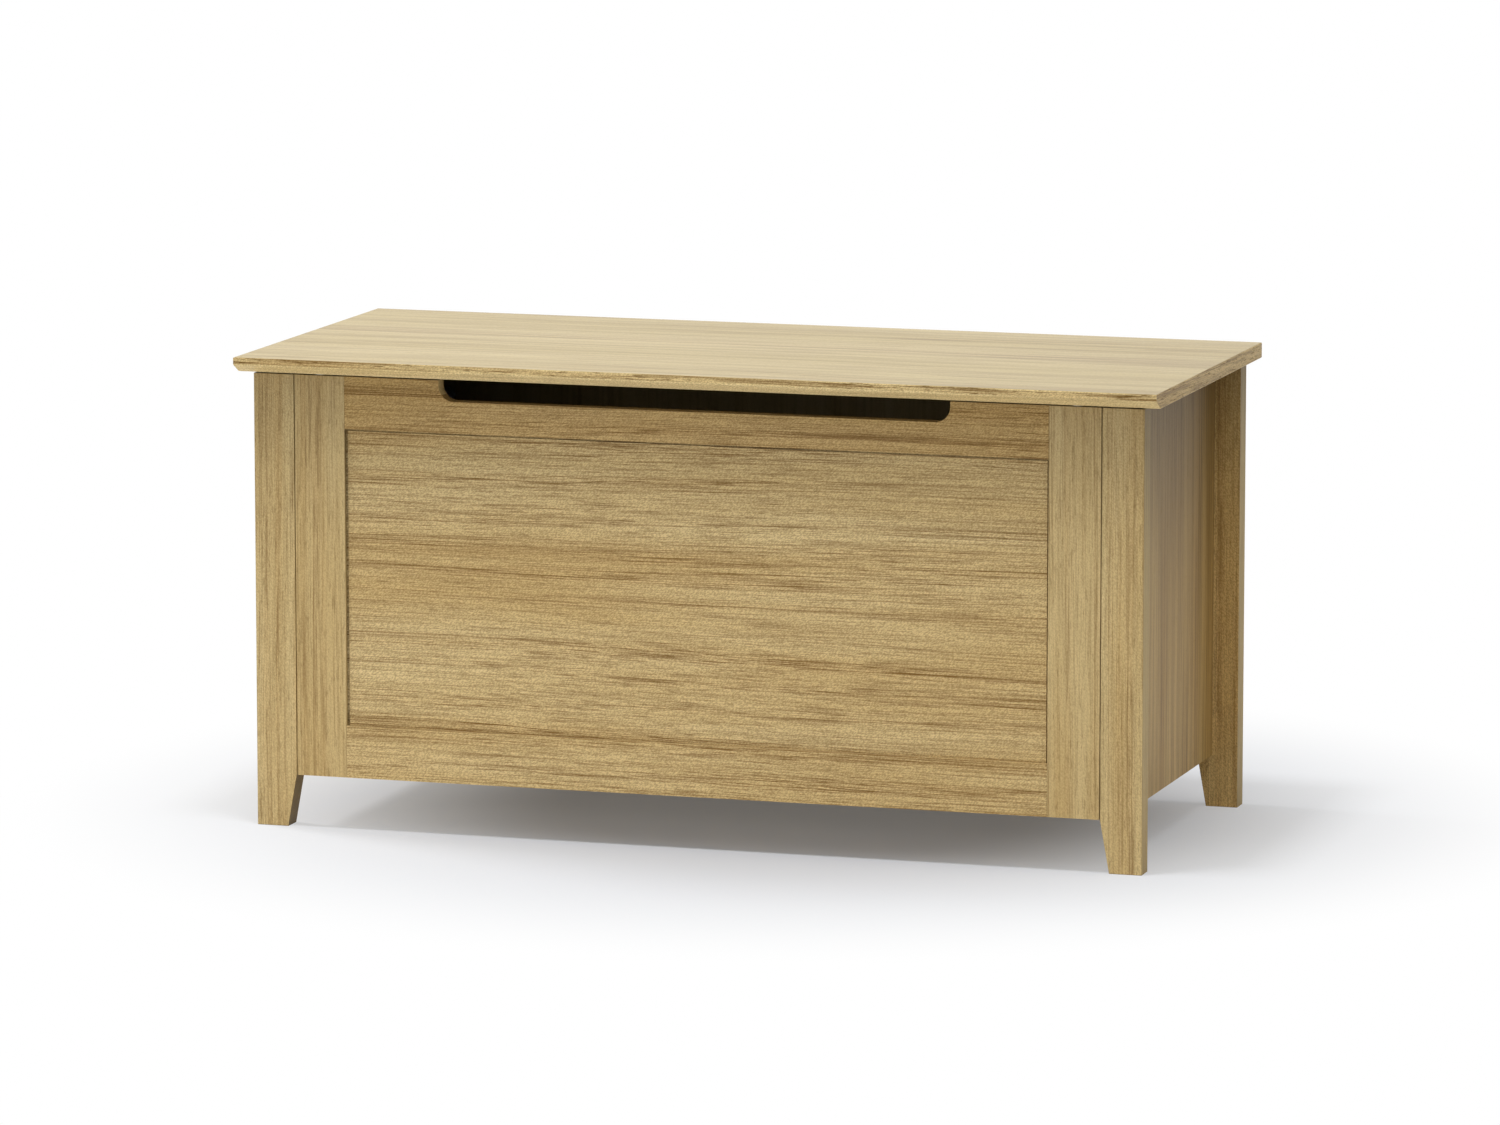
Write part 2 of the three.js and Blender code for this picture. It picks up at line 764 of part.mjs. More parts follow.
function eyeBore() {
  return crossBar(eyeBoreRadius, -eyeWidth, eyeWidth, plainSides);
}

// Strut tube: closed behind its eye, hollow for the piston, with a neck that guides the rod.
function strutCylinder(sideName, side) {
  const tubeStart = eyeRadius + eyeNeckLength / 2;
  const boreStart = eyeRadius + eyeNeckLength + cylinderEndWall;
  const neckStart = cylinderLength - cylinderNeckLength;
  const rodBore = rodRadius + strutRunningGap;
  const profile = [
    [0, tubeStart],
    [cylinderRadius - cylinderChamfer, tubeStart],
    [cylinderRadius, tubeStart + cylinderChamfer],
    [cylinderRadius, cylinderLength - cylinderChamfer],
    [cylinderRadius - cylinderChamfer, cylinderLength],
    [rodBore, cylinderLength],
    [rodBore, neckStart],
    [cylinderBoreRadius, neckStart],
    [cylinderBoreRadius, boreStart],
    [0, boreStart],
  ];
  const body = cut(joined(turned(profile, fineSides), eyeEnd()), [eyeBore()]);
  const mesh = piece(`${sideName}_strut_cylinder`, body, blackPaintedSteel());
  mesh.rotation.x = strutLean;
  return placed(mesh, side * strutX, hingeY - sidePivotForward, hingeZ - sidePivotDrop);
}

// Strut rod: runs from the lid's stud back into the tube and ends in the piston.
function strutRod(sideName, side) {
  const profile = [
    [0, eyeRadius],
    [rodRadius, eyeRadius],
    [rodRadius, rodReach - pistonLength],
    [pistonRadius, rodReach - pistonLength],
    [pistonRadius, rodReach],
    [0, rodReach],
  ];
  const body = cut(joined(turned(profile, fineSides), eyeEnd()), [eyeBore()]);
  const mesh = piece(`${sideName}_strut_rod`, body, brightRodSteel());
  mesh.rotation.x = strutLean + Math.PI;
  return placed(mesh, side * strutX, -lidPivotForward, -lidPivotDrop);
}

// Lid: one board, undercut along its front edge. Its own frame has the hinge axis at the origin.
function lidPanel() {
  const bottom = lidGap / 2;
  const top = bottom + lidThickness;
  const back = -hingeAxisBehind;
  const front = back - lidDepth;
  const outline = new THREE.Shape([
    new THREE.Vector2(back, bottom),
    new THREE.Vector2(back, top),
    new THREE.Vector2(front, top),
    new THREE.Vector2(front, top - lidNoseHeight),
    new THREE.Vector2(front + lidFrontOverhang, bottom),
  ]);
  const board = boardFrom(outline, lidWidth).rotate([0, 0, 90]).translate([lidWidth / 2, 0, 0]);
  const leafTop = leafGap / 2 + leafThickness + leafRecessClearance;
  const cutters = [];
  for (const [, side] of sides) {
    const middle = side * hingeCentreX;
    const reach = hingeLength / 2 + leafRecessClearance;
    cutters.push(block(
      [middle - reach, back - leafWidth - leafRecessClearance, bottom - cutOverrun],
      [middle + reach, back + cutOverrun, leafTop],
    ));
    for (const offset of [-hingeScrewOffset, hingeScrewOffset]) {
      const hole = shankHole(shortScrewLength - leafThickness).rotate([180, 0, 0]);
      cutters.push(hole.translate([middle + offset, backScrewY - hingeY, leafTop]));
    }
    for (const share of bracketScrewShares) {
      const hole = shankHole(shortScrewLength).rotate([180, 0, 0]);
      const y = share * bracketScrewOffset - lidPivotForward;
      cutters.push(hole.translate([side * (strutX + lidScrewOffset), y, bottom]));
    }
  }
  return piece('lid_panel', cut(board, cutters), lidOak());
}

function carcass() {
  const group = new THREE.Group();
  group.add(legs(), frontFrame(), backPanel(), battens(), basePanel(), cams(), bumpers());
  for (const [sideName, side] of sides) {
    group.add(sidePanel(sideName, side));
    group.add(hingeBodySide(sideName, side));
    group.add(sideBracket(sideName, side));
    group.add(strutCylinder(sideName, side));
  }
  return group;
}

function lid() {
  const group = new THREE.Group();
  group.position.set(0, hingeY, hingeZ);
  group.add(lidPanel());
  for (const [sideName, side] of sides) {
    group.add(hingeLidSide(sideName, side));
    group.add(lidBracket(sideName, side));
    group.add(strutRod(sideName, side));
  }
  return group;
}

const chest = new THREE.Group();
chest.add(carcass(), lid());

export default chest;
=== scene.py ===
import json
import math

import bmesh
import bpy
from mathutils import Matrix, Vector

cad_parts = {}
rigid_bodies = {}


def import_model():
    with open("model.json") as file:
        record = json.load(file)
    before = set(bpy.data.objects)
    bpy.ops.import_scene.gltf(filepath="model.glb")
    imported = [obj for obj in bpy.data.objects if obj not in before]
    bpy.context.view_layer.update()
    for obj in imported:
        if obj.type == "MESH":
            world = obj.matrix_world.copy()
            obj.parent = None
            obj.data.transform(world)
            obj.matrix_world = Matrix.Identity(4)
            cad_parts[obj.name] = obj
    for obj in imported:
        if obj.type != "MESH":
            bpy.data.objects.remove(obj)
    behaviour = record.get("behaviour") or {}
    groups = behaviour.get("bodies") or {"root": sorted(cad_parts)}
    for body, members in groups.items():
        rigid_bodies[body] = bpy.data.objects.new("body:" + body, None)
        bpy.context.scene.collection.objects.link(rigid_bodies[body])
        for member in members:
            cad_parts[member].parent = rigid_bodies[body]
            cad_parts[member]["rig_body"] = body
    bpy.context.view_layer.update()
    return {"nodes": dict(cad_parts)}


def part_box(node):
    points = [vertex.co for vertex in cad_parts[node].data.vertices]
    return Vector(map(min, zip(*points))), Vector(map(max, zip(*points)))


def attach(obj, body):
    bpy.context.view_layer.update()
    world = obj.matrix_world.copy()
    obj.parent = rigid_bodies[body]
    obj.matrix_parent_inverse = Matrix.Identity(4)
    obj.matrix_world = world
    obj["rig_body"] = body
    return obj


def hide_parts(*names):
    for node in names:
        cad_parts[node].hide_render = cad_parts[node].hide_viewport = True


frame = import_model()

# Blanket chest in pale oak veneer: eased boards, fittings, finishes, floor, light and camera.
# The scene is in metres, and the dictionaries hold millimetres and degrees.

mm = 0.001
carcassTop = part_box("front_left_leg")[1].z / mm
print("frame loaded:", len(frame["nodes"]), "nodes")


def linearColour(code):  # "#rrggbb" in sRGB, as a linear colour with alpha
    parts = [int(code[i:i + 2], 16) / 255 for i in (1, 3, 5)]
    return (*[c / 12.92 if c <= 0.04045 else ((c + 0.055) / 1.055) ** 2.4 for c in parts], 1)


def newMaterial(name):
    material = bpy.data.materials.new(name)
    material.use_nodes = True
    material.node_tree.nodes.clear()
    return material, material.node_tree


def addNode(tree, kind, inputs=(), output=0, **settings):
    # Inputs go by name or in the node's own order: a socket is linked, a plain value is set.
    node = tree.nodes.new("ShaderNode" + kind)
    for name, value in settings.items():
        setattr(node, name, value)
    if not isinstance(inputs, dict):
        inputs = dict(enumerate(inputs))
    for name, value in inputs.items():
        if isinstance(value, bpy.types.NodeSocket):
            tree.links.new(value, node.inputs[name])
        else:
            node.inputs[name].default_value = value
    return node.outputs[output] if node.outputs else None


colourMix = {"kind": "Mix", "output": 2, "data_type": "RGBA"}  # its share is input 0, its colours 6 and 7
noiseRoughness = 0.55  # how strong each finer layer of a noise is
noiseMiddle = 0.5


def grainPattern(tree, place, size, cut, turn=0, detail=2, ridge=False):
    # Noise stretched along the grain, which rises from 0 to 1 between the two levels of its cut.
    length, width = size
    stretched = addNode(
        tree,
        "Mapping",
        {"Vector": place, "Rotation": (0, math.radians(turn), 0), "Scale": (length, width, width)},
        vector_type="TEXTURE",
    )
    value = addNode(
        tree,
        "TexNoise",
        {"Vector": stretched, "Scale": 1, "Detail": detail, "Roughness": noiseRoughness},
    )
    if ridge:  # thin lines where the noise passes its middle
        centred = addNode(tree, "Math", [value, noiseMiddle], operation="SUBTRACT")
        value = addNode(tree, "Math", [centred], operation="ABSOLUTE")
    low, high = cut
    return addNode(tree, "MapRange", {"Value": value, "From Min": low, "From Max": high})


# Oak veneer: oak sliced to leaves, pressed on board, sanded and rolled with satin lacquer.
# It gives the eye pale wood with thin dark late-wood lines that crowd in zones, open pores,
# and a fine wrinkle from the press that breaks up the gloss.
# Patterns are drawn in the board's own grain frame: x along the grain, y and z across.

grainTurns = {
    "X": (0, 0, 0),
    "Y": (0, 0, math.radians(-90)),
    "Z": (0, math.radians(90), 0),
}

oakLook = {
    "grain": "X",
    "pale": "#d1bb89",
    "tan": "#c5ab76",
    "blush": "#9a6520",  # warm tint of the zones where the lines crowd
    "streak": "#5d3c00",
    "pore": "#5e4215",
    "toneLength": 600,  # slow change between pale and tan
    "toneWidth": 30,
    "toneCut": (0.35, 0.65),
    "swayLength": 600,  # the wave that bends all lines alike
    "swayWidth": 160,
    "swayCut": (0.25, 0.75),
    "swayHeight": 16,  # how far it bends them
    "bandLength": 800,  # zones where the dark lines crowd
    "bandWidth": 8,
    "bandCut": (0.46, 0.62),
    "bandTint": 0.15,
    "leastCrowd": 0.55,  # how much of the lines stays outside those zones
    "streakLength": 900,  # dark late-wood lines, thinner with a smaller cut
    "streakWidth": 2.5,
    "streakCut": (0.12, 0),
    "streakAmount": 0.64,
    "dashLength": 400,  # where those lines come and go
    "dashWidth": 7,
    "dashCut": (0.42, 0.54),
    "fineLength": 80,  # thin lines between them
    "fineWidth": 1,
    "fineCut": (0.52, 0.64),
    "fineAmount": 0.62,
    "poreLength": 14,  # open pores, drawn about twice as wide as real ones to show
    "poreWidth": 1.4,
    "poreCut": (0.58, 0.66),
    "poreAmount": 0.3,
    "poreRoughness": 0.3,
    "wrinkleLength": 2,  # wrinkle from the press, drawn coarser than the real one to show
    "wrinkleWidth": 1,
    "wrinkleCut": (0.35, 0.65),
    "wrinkleTurn": -30,
    "wrinkleTone": 0.18,
    "wrinkleLift": 0.85,  # gives back what its hollows darken, so the board keeps its colour
    "wrinkleDepth": 0.18,
    "lineDepth": 0.2,  # how deep the lines and pores lie
    "roughness": 0.45,
    "specular": 0.12,
    "ior": 1.5,
    "paintedShadeUnderLid": 0.35,  # painted shade: how much darker the wood is drawn just under the lid, where its overhang shades it
    "paintedShadeDepth": 200,
}


def oakVeneer(name, *changes):
    look = dict(oakLook)
    for change in changes:
        look.update(change)
    material, tree = newMaterial(name)
    place = addNode(tree, "TexCoord", output="Object")
    turned = {"Vector": place, "Rotation": grainTurns[look["grain"]], "Scale": (1 / mm,) * 3}
    grain = addNode(tree, "Mapping", turned)

    def pattern(part, where, **options):
        size = look[part + "Length"], look[part + "Width"]
        return grainPattern(tree, where, size, look[part + "Cut"], **options)

    wave = pattern("sway", grain, detail=0.5)
    rise = addNode(tree, "Math", [wave, look["swayHeight"]], operation="MULTIPLY")
    offset = addNode(tree, "CombineXYZ", {"Y": rise, "Z": rise})
    swayed = addNode(tree, "VectorMath", [grain, offset], operation="ADD")

    tone = pattern("tone", swayed)
    band = pattern("band", swayed)
    streak = pattern("streak", swayed, detail=1, ridge=True)
    dash = pattern("dash", swayed)
    fine = pattern("fine", swayed)
    pore = pattern("pore", swayed)
    wrinkle = pattern("wrinkle", grain, turn=look["wrinkleTurn"], detail=0)

    least = look["leastCrowd"]
    crowd = addNode(tree, "Math", [band, 1 - least, least], operation="MULTIPLY_ADD")
    factors = {
        "band": (band, look["bandTint"]),
        "streak": (streak, dash, crowd, look["streakAmount"]),
        "fine": (fine, crowd, look["fineAmount"]),
        "pore": (pore, look["poreAmount"]),
    }
    masks = {}
    for layer, (mask, *others) in factors.items():
        for other in others:
            mask = addNode(tree, "Math", [mask, other], operation="MULTIPLY")
        masks[layer] = mask
    # Painted shade: the wrinkle's hollows are drawn darker, towards the streak colour, as shade in them.
    deepest = 2 * look["wrinkleTone"]
    hollow = addNode(tree, "Math", [wrinkle, -deepest, deepest], operation="MULTIPLY_ADD")

    colour = linearColour(look["pale"])
    layers = (
        (tone, "tan"),
        (masks["band"], "blush"),
        (hollow, "streak"),
        (masks["streak"], "streak"),
        (masks["fine"], "streak"),
        (masks["pore"], "pore"),
    )
    for mask, tint in layers:
        colour = addNode(tree, inputs={0: mask, 6: colour, 7: linearColour(look[tint])}, **colourMix)

    # Painted shade: the colour darkens towards the top of the carcass, by the square of nearness, as the
    # lid's overhang would shade it.
    paintedShadeRange = {
        "Value": addNode(tree, "SeparateXYZ", [place], "Z"),
        "From Min": (carcassTop - look["paintedShadeDepth"]) * mm,
        "From Max": carcassTop * mm,
    }
    nearLid = addNode(tree, "MapRange", paintedShadeRange)
    squared = addNode(tree, "Math", [nearLid, nearLid], operation="MULTIPLY")
    paintedShadeFactor = addNode(tree, "Math", [squared, -look["paintedShadeUnderLid"], 1], operation="MULTIPLY_ADD")
    lift = 1 + look["wrinkleLift"] * look["wrinkleTone"]
    shade = addNode(tree, "Math", [paintedShadeFactor, lift], operation="MULTIPLY")
    shaded = addNode(tree, "VectorMath", {0: colour, "Scale": shade}, operation="SCALE")

    relief = addNode(tree, "Math", [wrinkle, look["wrinkleDepth"]], operation="MULTIPLY")
    for layer in ("streak", "pore"):
        cutIn = [masks[layer], -look["lineDepth"], relief]
        relief = addNode(tree, "Math", cutIn, operation="MULTIPLY_ADD")
    bump = addNode(tree, "Bump", {"Strength": 1, "Distance": mm, "Height": relief})
    matt = [masks["pore"], look["poreRoughness"], look["roughness"]]
    roughness = addNode(tree, "Math", matt, operation="MULTIPLY_ADD")
    surface = {
        "Base Color": shaded,
        "Roughness": roughness,
        "IOR": look["ior"],
        "Specular IOR Level": look["specular"],
        "Normal": bump,
    }
    shader = addNode(tree, "BsdfPrincipled", surface)
    addNode(tree, "OutputMaterial", {"Surface": shader})
    return material


# Changes that several of the finishes share.

noLidShade = {"paintedShadeUnderLid": 0}  # no painted shade under the lid
sheltered = {"paintedShadeUnderLid": 0.5}  # more of it
smooth = {"wrinkleTone": 0.05, "wrinkleDepth": 0.05, "lineDepth": 0.03}
faint = {"streakAmount": 0.4, "fineAmount": 0.25, "poreAmount": 0.1, "bandTint": 0.08}
upright = {
    "grain": "Z",
    "swayHeight": 8,
    "streakLength": 500,
    "streakWidth": 3.5,
    "streakAmount": 0.43,
    "dashLength": 60,
    "dashWidth": 2,
    "bandTint": 0.1,
    "fineAmount": 0.33,
}
straightGrain = {
    "toneWidth": 60,
    "bandWidth": 30,
    "streakLength": 1500,
    "streakWidth": 7,
    "streakCut": (0.16, 0),
    "dashLength": 500,
    "dashWidth": 14,
    "fineLength": 200,
    "fineWidth": 4,
    "fineAmount": 0.5,
    "poreWidth": 3,
}

# Lid: quarter-sliced oak veneer, sanded finer and lacquered twice. It is greyer and flatter,
# with long quiet lines and a soft sheen. It is seen at a low angle, so its lines are drawn
# wider than real ones to show.
lidLook = {
    "pale": "#bcaa7c",
    "tan": "#b5a372",
    "blush": "#8f6c35",
    "roughness": 0.36,
    "specular": 0.25,
    "toneLength": 1500,
    "toneWidth": 90,
    "swayWidth": 400,
    "bandLength": 2000,
    "bandWidth": 50,
    "leastCrowd": 0.6,
    "streakLength": 1500,
    "streakWidth": 8,
    "streakCut": (0.2, 0),
    "streakAmount": 0.42,
    "dashLength": 700,
    "dashWidth": 12,
    "fineLength": 150,
    "fineWidth": 3,
    "fineAmount": 0.4,
    "wrinkleTone": 0.07,
    "wrinkleLength": 3,
    "wrinkleWidth": 2,
    "wrinkleTurn": 0,
}
lidVeneer = oakVeneer("lidOakVeneer", smooth, faint, noLidShade, lidLook)

# Lid's front edge: sawn oak band, glued on and sanded. Its lines are close, short and dark.
noseLook = {
    "pale": "#d6bf8a",
    "tan": "#cab07a",
    "streakAmount": 0.9,
    "streakCut": (0.2, 0),
    "dashLength": 120,
    "fineAmount": 0.8,
    "poreAmount": 0.7,
}
lidNoseBand = oakVeneer("lidNoseOakBand", noLidShade, noseLook)

# Lid's ends: the same sawn band, paler, with its lines from front to back.
endLook = {
    "grain": "Y",
    "pale": "#dcc188",
    "tan": "#c8ab72",
    "specular": 0.15,
    "streakAmount": 0.85,
    "poreAmount": 0.6,
}
lidEndBand = oakVeneer("lidEndOakBand", noLidShade, endLook)

# Undercut of the lid's front edge: the same band, routed back. It is drawn the palest and plainest, as
# painted light on this face that looks down.
undercutPaintedLight = {"pale": "#e2cd9a", "tan": "#d8c18a"}
lidUndercut = oakVeneer("lidUndercutOakBand", noLidShade, faint, undercutPaintedLight)

# Centre panel and bottom rail: one leaf of plain-sliced oak veneer, pressed and lacquered.
# Its broken dark lines run level over wide soft zones, and the wrinkle shows most.
frontLook = {
    "streak": "#603d04",
    "toneWidth": 60,
    "swayLength": 900,
    "bandLength": 1500,
    "bandWidth": 14,
    "bandTint": 0.08,
    "streakLength": 1500,
    "streakWidth": 2,
    "streakCut": (0.09, 0),
    "streakAmount": 0.77,
    "dashLength": 350,
    "dashWidth": 2.5,
    "fineLength": 90,
    "fineWidth": 0.7,
    "fineAmount": 0.7,
    "wrinkleLength": 2.2,
    "wrinkleTone": 0.2,
    "wrinkleDepth": 0.22,
}
panelVeneer = oakVeneer("panelOakVeneer", frontLook)

# Top rail: the same slicing, drawn darker as painted shade from the lid above it.
topRailShadeTone = {"pale": "#cbae78", "tan": "#bfa066"}
topRailVeneer = oakVeneer("topRailOakVeneer", frontLook, topRailShadeTone)

# Stiles and legs: upright strips of oak veneer, pressed and lacquered. The lines are short
# and soft, and the wrinkle is shallower on so narrow a strip.
stileTone = {"pale": "#c9b280", "tan": "#bea36e", "wrinkleTone": 0.09, "wrinkleDepth": 0.1}
stileVeneer = oakVeneer("stileOakVeneer", upright, stileTone)
legTone = {"pale": "#cdb785", "tan": "#c2a874", "wrinkleTone": 0.12, "wrinkleDepth": 0.15}
legVeneer = oakVeneer("legOakVeneer", upright, legTone)
# The rear legs get stronger painted shade under the lid, reaching further down.
rearLegTone = {"pale": "#dabb7f", "tan": "#c7a76b", "paintedShadeDepth": 250}
rearLegVeneer = oakVeneer("rearLegOakVeneer", upright, sheltered, rearLegTone)

# Edges of the uprights: oak band ironed on and sanded flush. It is plain, with faint lines.
# Painted shade: the band is drawn darker under the lid, more than the fronts.
edgeBand = oakVeneer("uprightOakBand", upright, smooth, faint, sheltered)
# The legs' side faces get a darker copy of the band, as painted shade for the dimmer light on the sides.
legSideShadeTone = {"pale": "#c2a972", "tan": "#b59b62"}
legSideBand = oakVeneer("legSideOakBand", upright, smooth, faint, sheltered, legSideShadeTone)

# Slopes of the toes: the same band, drawn dark brown as painted shade, since they face in and down under
# the chest.
toeShadeTone = {"pale": "#7d6b43", "tan": "#736039"}
toeBand = oakVeneer("toeOakBand", upright, smooth, faint, toeShadeTone)

# Side and back panels: quarter-sliced oak veneer, sanded flat and lacquered. Soft lines stand
# upright, drawn wider than real ones because the photo's angle narrows them, and the wood
# darkens a long way down from the lid.
# Painted shade: the side and back panels are drawn darker a long way down from the lid, over their whole
# height.
sideTone = {
    "pale": "#cdad70",
    "tan": "#b7965b",
    "paintedShadeUnderLid": 0.66,
    "paintedShadeDepth": 384,
    "specular": 0.15,
}
sideVeneer = oakVeneer("sideOakVeneer", upright, smooth, faint, sideTone, straightGrain)

# Inside faces: backing veneer of oak, sanded and lacquered once. It is even, with few lines.
# Painted shade: the inside faces are drawn darker a long way down from the lid, so the inside looks dim
# through the slot.
innerShade = {
    "pale": "#c0a976",
    "tan": "#b39a64",
    "paintedShadeUnderLid": 0.66,
    "paintedShadeDepth": 340,
    "streakAmount": 0.15,
    "fineAmount": 0.2,
}
innerUpright = oakVeneer("innerUprightOakVeneer", upright, smooth, faint, straightGrain, innerShade)
innerLevel = oakVeneer("innerLevelOakVeneer", smooth, faint, straightGrain, noLidShade)

# Battens: planed pine, bare. It is pale and soft to the eye, with warm faint lines.
pineTone = {"pale": "#d8c091", "tan": "#caa96f", "streak": "#a87f45"}
pineBatten = oakVeneer("planedPine", smooth, faint, noLidShade, pineTone)
print("wood finishes made")


def plainFinish(name, look):  # clouded colour, with scratches or a peel in its gloss
    material, tree = newMaterial(name)
    place = addNode(tree, "TexCoord", output="Object")
    scaled = addNode(tree, "Mapping", {"Vector": place, "Scale": (1 / mm,) * 3})
    cloud = grainPattern(tree, scaled, (look["cloud"], look["cloud"]), look["cloudCut"])
    scratchSize = look["scratchLength"], look["scratchWidth"]
    scratch = grainPattern(tree, scaled, scratchSize, look["scratchCut"])
    shades = {0: cloud, 6: linearColour(look["colour"]), 7: linearColour(look["shade"])}
    matt = [scratch, look["roughnessSpread"], look["roughness"]]
    relief = addNode(tree, "Math", [scratch, look["scratchDepth"]], operation="MULTIPLY")
    surface = {
        "Base Color": addNode(tree, inputs=shades, **colourMix),
        "Metallic": look["metallic"],
        "Roughness": addNode(tree, "Math", matt, operation="MULTIPLY_ADD"),
        "Normal": addNode(tree, "Bump", {"Strength": 1, "Distance": mm, "Height": relief}),
    }
    shader = addNode(tree, "BsdfPrincipled", surface)
    addNode(tree, "OutputMaterial", {"Surface": shader})
    return material


# Marks and peel are drawn coarser than real ones to show on such small fittings.

# Brass-plated steel, pressed: warm and fairly bright, with faint rolling marks.
brassLook = {
    "colour": "#cdbd92",
    "shade": "#bfac7c",
    "cloud": 6,
    "cloudCut": (0.3, 0.7),
    "scratchLength": 12,
    "scratchWidth": 0.5,
    "scratchCut": (0.4, 0.7),
    "scratchDepth": 0.01,
    "metallic": 1,
    "roughness": 0.28,
    "roughnessSpread": 0.15,
}
# Zinc-plated steel, pressed and tumbled: cool grey, cloudy, half matt.
zincLook = {**brassLook, "colour": "#b9bbbd", "shade": "#a2a5a8", "cloud": 3, "roughness": 0.35}
# Hard-chromed rod, ground: bright and even.
rodLook = {
    **brassLook,
    "colour": "#cfd1d3",
    "shade": "#c4c6c9",
    "roughness": 0.16,
    "roughnessSpread": 0.06,
}
# Black powder paint on a steel tube, baked: satin, with a fine orange peel.
paintLook = {
    **brassLook,
    "colour": "#1c1d1f",
    "shade": "#222325",
    "metallic": 0,
    "scratchLength": 1.2,
    "scratchWidth": 1.2,
    "scratchDepth": 0.02,
    "roughness": 0.34,
    "roughnessSpread": 0.1,
}
# Moulded rubber: cloudy white and matt.
rubberLook = {**paintLook, "colour": "#d8d6cc", "shade": "#cfcdc2", "roughness": 0.55}
brassedSteel = plainFinish("brassPlatedSteel", brassLook)
zincSteel = plainFinish("zincPlatedSteel", zincLook)
rodSteel = plainFinish("chromedRodSteel", rodLook)
blackPaint = plainFinish("blackPaintedSteel", paintLook)
whiteRubber = plainFinish("mouldedRubber", rubberLook)
print("fitting finishes made")


# Boards: a merged copy of each packed board, with its long arrises eased.
# A board may have a finish for each way that its faces look.

easing = {"angle": 25, "shortest": 30, "segments": 2}  # edges sharper and longer than these
panelField = {"quirk": 2, "depth": 2.5}  # the groove round the panel's raised face
boards = {
    "lid_panel": {
        "slot": "oak_lid",
        "ease": 0.8,
        "shortest": 70,
        "finish": {"outside": lidVeneer, "X": lidEndBand, "Y": lidNoseBand, "undercut": lidUndercut},
    },
    "front_centre_panel": {
        "slot": "oak_centre_panel",
        "ease": 0,
        "finish": {"outside": panelVeneer, "inside": innerLevel},
        "field": panelField,
    },
    "front_top_rail": {
        "slot": "oak_rails",
        "ease": 0.35,
        "finish": {"outside": topRailVeneer, "inside": innerLevel},
    },
    "front_bottom_rail": {
        "slot": "oak_rails",
        "ease": 0.15,
        "finish": {"outside": panelVeneer, "inside": innerLevel},
    },
    "back_panel": {
        "slot": "oak_side_panels",
        "ease": 0.4,
        "shortest": 70,
        "finish": {"outside": sideVeneer, "inside": innerUpright},
    },
    "base_panel": {"slot": "base_board", "ease": 0.4, "finish": {"outside": innerLevel}},
}
for sideName in ("left", "right"):
    boards[f"front_{sideName}_stile"] = {
        "slot": "oak_uprights",
        "ease": 0.35,
        "finish": {"outside": edgeBand, "Y": stileVeneer, "inside": innerUpright},
    }
    boards[f"{sideName}_side_panel"] = {
        "slot": "oak_side_panels",
        "ease": 0.4,
        "finish": {"outside": sideVeneer, "inside": innerUpright},
    }
    for end, endVeneer in (("front", legVeneer), ("rear", rearLegVeneer)):
        boards[f"{end}_{sideName}_leg"] = {
            "slot": "oak_uprights",
            "ease": 0.4,
            "finish": {"outside": edgeBand, "X": legSideBand, "Y": endVeneer, "undercut": toeBand},
        }
for place in ("front", "back", "left", "right"):
    boards[f"{place}_batten"] = {"slot": "softwood", "ease": 0.6, "finish": {"outside": pineBatten}}

facing = {"upright": 0.6, "undercut": (-0.95, -0.1)}  # how far up or down a face's normal points


def faceFinish(face, finishes):  # the finish for the way that a face of a board looks
    normal, centre = face.normal, face.calc_center_median()
    standing = abs(normal.z) < facing["upright"]
    if standing and "inside" in finishes and normal.x * centre.x + normal.y * centre.y < 0:
        return finishes["inside"]
    if facing["undercut"][0] < normal.z < facing["undercut"][1]:
        way = "undercut"
    elif not standing:
        way = "Z"
    else:
        way = "X" if abs(normal.x) > abs(normal.y) else "Y"
    return finishes.get(way, finishes["outside"])


merging = {"gap": 0.005, "flat": 0.5}  # mm between doubles, and degrees across a lost edge


def mergedCopy(nodeName):
    bm = bmesh.new()
    bm.from_mesh(frame["nodes"][nodeName].data)
    bmesh.ops.remove_doubles(bm, verts=bm.verts, dist=merging["gap"] * mm)
    flat = math.radians(merging["flat"])
    bmesh.ops.dissolve_limit(bm, angle_limit=flat, verts=bm.verts, edges=bm.edges)
    return bm


def sharpEdges(bm, angle, shortest):
    return [
        edge for edge in bm.edges
        if edge.is_manifold and edge.is_convex
        and edge.calc_face_angle() > math.radians(angle) and edge.calc_length() > shortest * mm
    ]


def bevelEdges(bm, edges, width, segments):
    bmesh.ops.bevel(
        bm,
        geom=edges,
        offset=width * mm,
        offset_type="OFFSET",
        affect="EDGES",
        segments=segments,
        profile=0.5,
        material=-1,
        clamp_overlap=True,
    )


def finishPiece(bm, nodeName, materials):
    mesh = bpy.data.meshes.new(nodeName)
    for material in materials:
        mesh.materials.append(material)
    bm.to_mesh(mesh)
    bm.free()
    piece = bpy.data.objects.new("dressed_" + nodeName, mesh)
    bpy.context.scene.collection.objects.link(piece)
    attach(piece, frame["nodes"][nodeName]["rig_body"])
    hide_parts(nodeName)
    return piece


